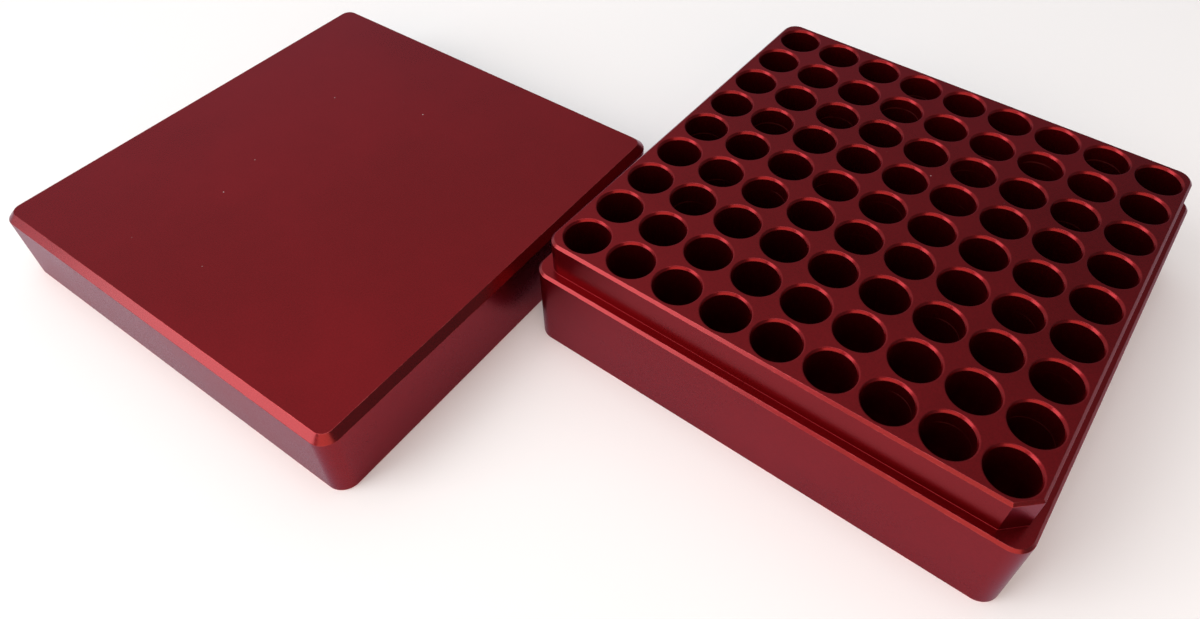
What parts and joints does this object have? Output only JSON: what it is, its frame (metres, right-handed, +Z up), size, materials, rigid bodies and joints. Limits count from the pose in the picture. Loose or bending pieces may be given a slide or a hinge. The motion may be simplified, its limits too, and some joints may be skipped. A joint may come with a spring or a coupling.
{
  "type": "cold block with cover",
  "caption": "Square red anodised aluminium cold block with a grid of round tube wells, a stepped top with one cut corner, and its open-bottomed cover lying beside it.",
  "frame": {"origin": "centre of the block's underside, on the surface that it stands on", "axes": "+Z up, +X along the rows of wells towards the cut corner's side, +Y along the columns; the cover stands on the -X side"},
  "size_m": [0.2746, 0.2061, 0.0359],
  "materials": {
    "block_anodised": "bead-blasted, red anodised, satin",
    "cover_anodised": "bead-blasted, red anodised, satin"
  },
  "bodies": {
    "root": {"well_block": "block_anodised", "cover": "cover_anodised"}
  },
  "joints": []
}
